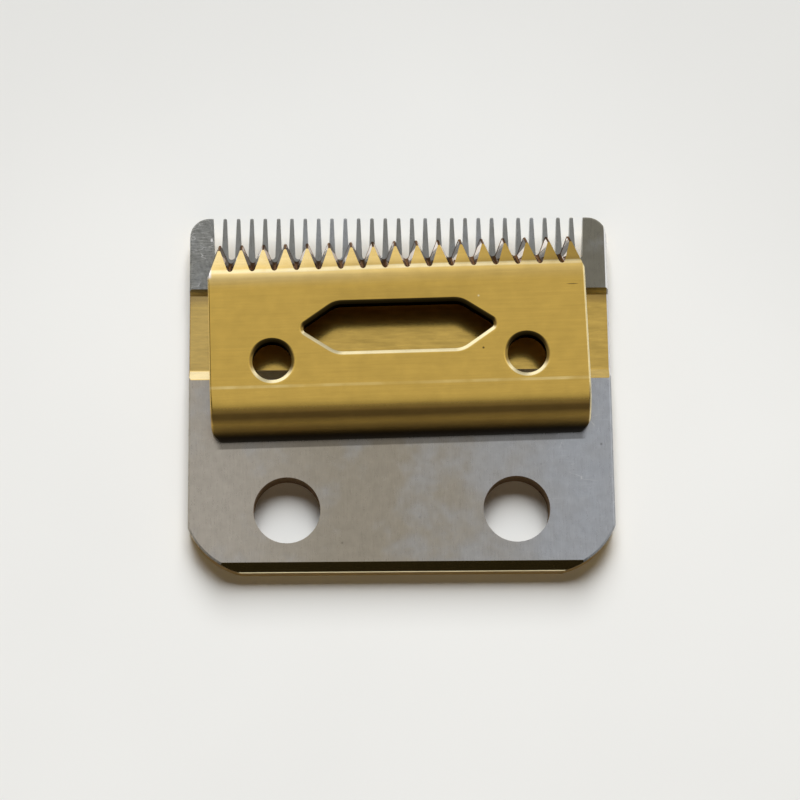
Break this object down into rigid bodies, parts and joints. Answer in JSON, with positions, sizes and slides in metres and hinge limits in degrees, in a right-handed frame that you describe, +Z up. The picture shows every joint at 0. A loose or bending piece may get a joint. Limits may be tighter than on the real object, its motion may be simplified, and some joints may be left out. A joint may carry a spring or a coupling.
{
  "type": "hair clipper blade",
  "caption": "Hair clipper blade set: flat ground comb blade with screw holes and a cross groove, under an arched gold-coloured cutter with coarse teeth and a drive window.",
  "frame": {"origin": "under the middle of the fixed blade, on the flat underside that it rests on", "axes": "+Z up out of the ground face, +Y towards the tooth tips, +X across the teeth, along the cutter's stroke"},
  "size_m": [0.046, 0.0394, 0.0077],
  "materials": {
    "ground_steel": "fine ground bare steel on the flat faces, gold-coloured in the groove and on the edges",
    "gold_coated_steel": "satin gold-coloured coating, bare bright steel on the ground tooth flanks"
  },
  "bodies": {
    "fixed_blade": {"fixed_blade": "ground_steel"},
    "cutter": {"cutter": "gold_coated_steel"}
  },
  "joints": [
    {"name": "cutter_stroke", "type": "slide", "parent": "fixed_blade", "child": "cutter", "axis": [1, 0, 0], "range_m": [-0.0015, 0.0015]}
  ]
}
